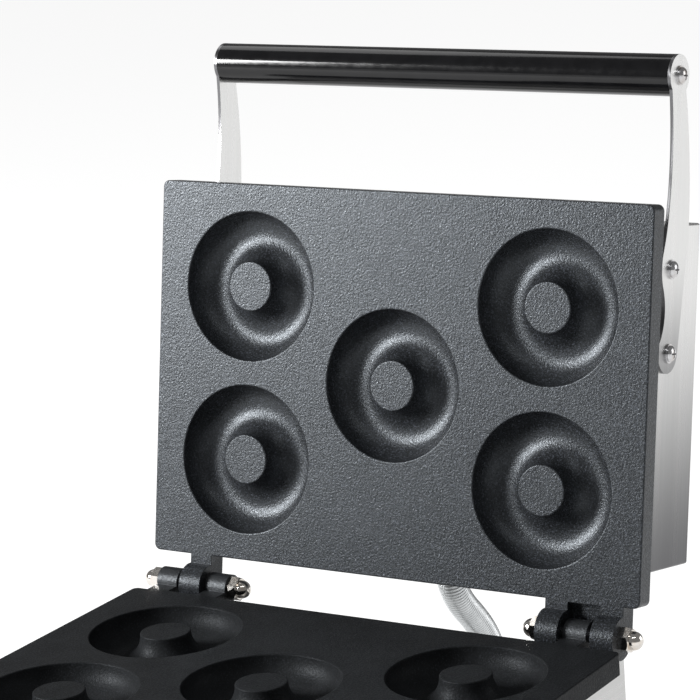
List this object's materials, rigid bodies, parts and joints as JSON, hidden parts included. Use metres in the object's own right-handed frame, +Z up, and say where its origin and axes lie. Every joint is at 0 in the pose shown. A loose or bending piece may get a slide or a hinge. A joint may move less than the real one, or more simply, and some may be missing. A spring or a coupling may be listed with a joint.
{
  "type": "donut maker",
  "caption": "Hinged countertop donut maker: two non-stick cast plates with ring cavities, stainless housings, a tubular handle, front controls and rubber feet, shown open.",
  "frame": {"origin": "on the surface the feet stand on, at the centre of the open appliance's bounding box in plan", "axes": "+X along the hinge to the operator's right, +Y from the operator towards the hinge, +Z up; the lid is open at rest"},
  "size_m": [0.3408, 0.3826, 0.4509],
  "materials": {
    "nonstick_cast": "cast aluminium with a fine-speckled satin non-stick coat",
    "brushed_stainless": "brushed stainless sheet",
    "nickel_nut": "bright nickel plate",
    "zinc_steel": "zinc-plated steel",
    "element_sheath": "heat-stained heater sheath",
    "reflector_sheet": "plain galvanised sheet",
    "mineral_wool": "pressed mineral wool",
    "ceramic_white": "unglazed white ceramic",
    "handle_black": "glossy heat-resistant plastic",
    "foot_rubber": "matt black rubber",
    "fascia_black": "satin black panel",
    "control_plastic": "moulded plastic control casing",
    "brass_shaft": "turned brass",
    "knob_black": "fine-textured black plastic",
    "lamp_green": "tinted lens",
    "lamp_orange": "tinted lens",
    "switch_black": "black plastic",
    "switch_red": "red plastic key",
    "gland_black": "black nylon",
    "conduit_steel": "corrugated flexible metal conduit"
  },
  "bodies": {
    "base": {"base_plate": "nonstick_cast", "hinge_studs": "zinc_steel", "hinge_cap_nuts": "nickel_nut", "base_housing": "brushed_stainless", "bottom_cover": "reflector_sheet", "rubber_feet": "foot_rubber", "foot_screws": "zinc_steel", "cover_screws": "zinc_steel", "base_heating_element": "element_sheath", "base_element_clamps": "zinc_steel", "base_reflector": "reflector_sheet", "base_plate_screws": "zinc_steel", "control_panel": "fascia_black", "panel_screws": "nickel_nut", "thermostat_body": "control_plastic", "timer_body": "control_plastic", "power_lamp": "lamp_green", "heating_lamp": "lamp_orange", "switch_frame": "switch_black", "terminal_block": "ceramic_white", "cable_gland": "gland_black", "base_conduit_fitting": "nickel_nut", "base_conduit_lock_nut": "zinc_steel", "conduit": "conduit_steel"},
    "lid": {"lid_plate": "nonstick_cast", "lid_cover": "brushed_stainless", "lid_insulation": "mineral_wool", "lid_heating_element": "element_sheath", "lid_element_clamps": "zinc_steel", "lid_reflector": "reflector_sheet", "lid_thermal_cutout": "ceramic_white", "lid_plate_screws": "zinc_steel", "left_handle_arm": "brushed_stainless", "right_handle_arm": "brushed_stainless", "handle_grip": "handle_black", "arm_screws": "nickel_nut", "handle_end_screws": "nickel_nut", "arm_nuts": "zinc_steel", "lid_conduit_fitting": "nickel_nut", "lid_conduit_lock_nut": "zinc_steel"},
    "thermostat_dial": {"thermostat_knob": "knob_black", "thermostat_shaft": "brass_shaft"},
    "timer_dial": {"timer_knob": "knob_black", "timer_shaft": "brass_shaft"},
    "rocker": {"switch_rocker": "switch_red"}
  },
  "joints": [
    {"name": "lid_hinge", "type": "hinge", "parent": "base", "child": "lid", "pos_m": [0, 0.062, 0.135], "axis": [1, 0, 0], "range_deg": [0, 100.8], "deforming": ["conduit"]},
    {"name": "thermostat_turn", "type": "hinge", "parent": "base", "child": "thermostat_dial", "pos_m": [-0.0827, -0.1733, 0.073], "axis": [0, 1, 0], "range_deg": [0, 270]},
    {"name": "timer_turn", "type": "hinge", "parent": "base", "child": "timer_dial", "pos_m": [0.0813, -0.1733, 0.073], "axis": [0, 1, 0], "range_deg": [0, 300]},
    {"name": "rocker_tilt", "type": "hinge", "parent": "base", "child": "rocker", "pos_m": [-0.0007, -0.1703, 0.065], "axis": [1, 0, 0], "range_deg": [-18, 0]}
  ]
}
